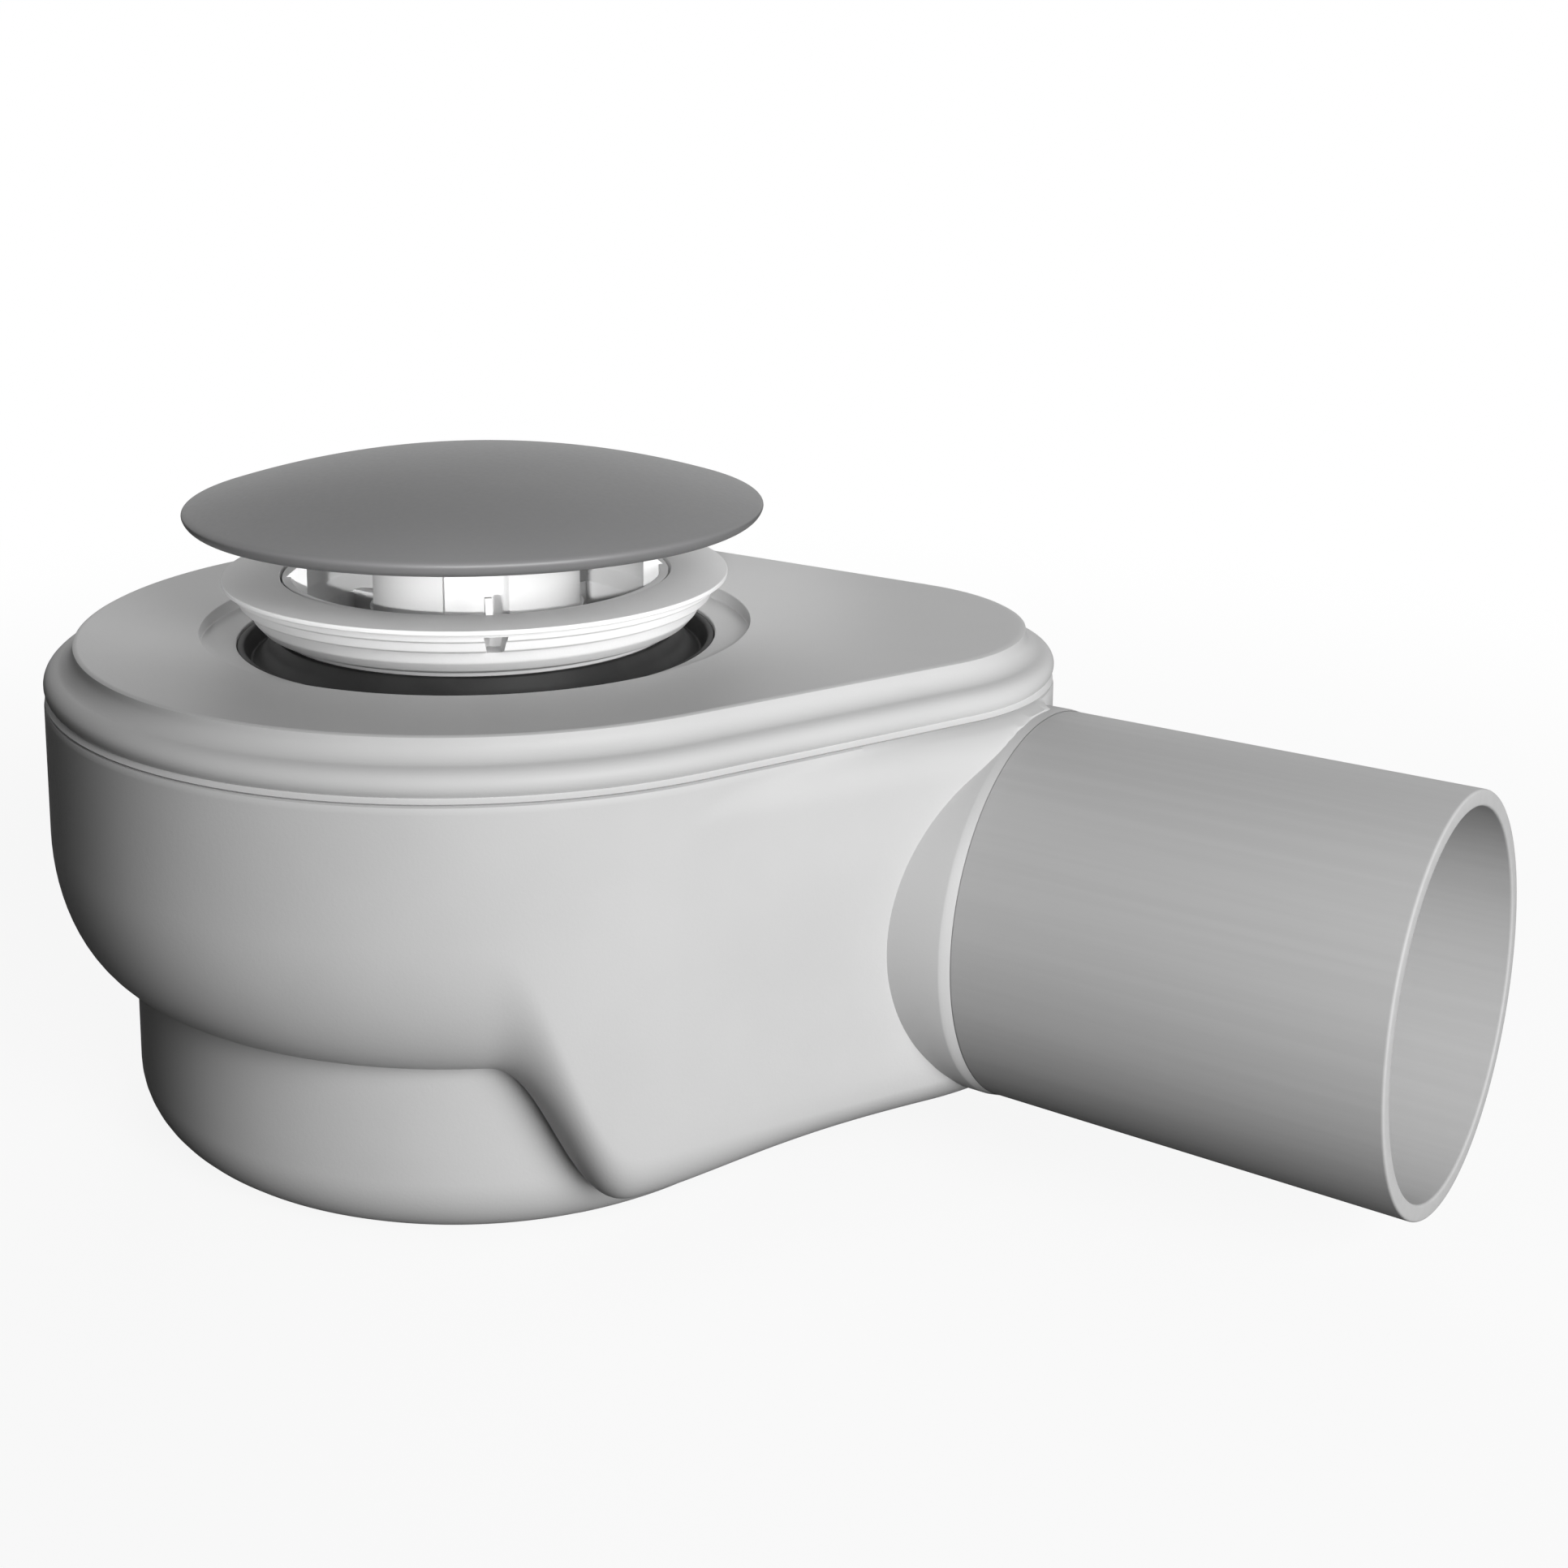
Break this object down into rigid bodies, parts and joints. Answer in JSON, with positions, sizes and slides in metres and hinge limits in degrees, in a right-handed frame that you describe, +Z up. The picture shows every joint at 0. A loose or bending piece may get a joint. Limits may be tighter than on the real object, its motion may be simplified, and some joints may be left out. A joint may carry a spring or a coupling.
{
  "type": "shower tray waste",
  "caption": "Low shower tray waste and trap with a domed cap, a clamping flange and a horizontal outlet pipe set to one side.",
  "frame": {"origin": "centre of the sump's flat underside, below the middle of the waste hole", "axes": "+Z up along the waste axis, +X along the outlet pipe towards its open end"},
  "size_m": [0.1825, 0.1144, 0.0896],
  "materials": {
    "body_plastic": "satin moulded",
    "flange_plastic": "satin moulded",
    "pipe_plastic": "extruded",
    "seal_rubber": "matte",
    "cap_metal": "satin"
  },
  "bodies": {
    "root": {"trap_bowl": "body_plastic", "housing_lid": "body_plastic", "tray_seal": "seal_rubber", "flange_ring": "flange_plastic", "dip_tube": "flange_plastic", "dip_tube_seal": "seal_rubber", "cap_carrier": "flange_plastic", "cap": "cap_metal", "outlet_pipe": "pipe_plastic"}
  },
  "joints": []
}
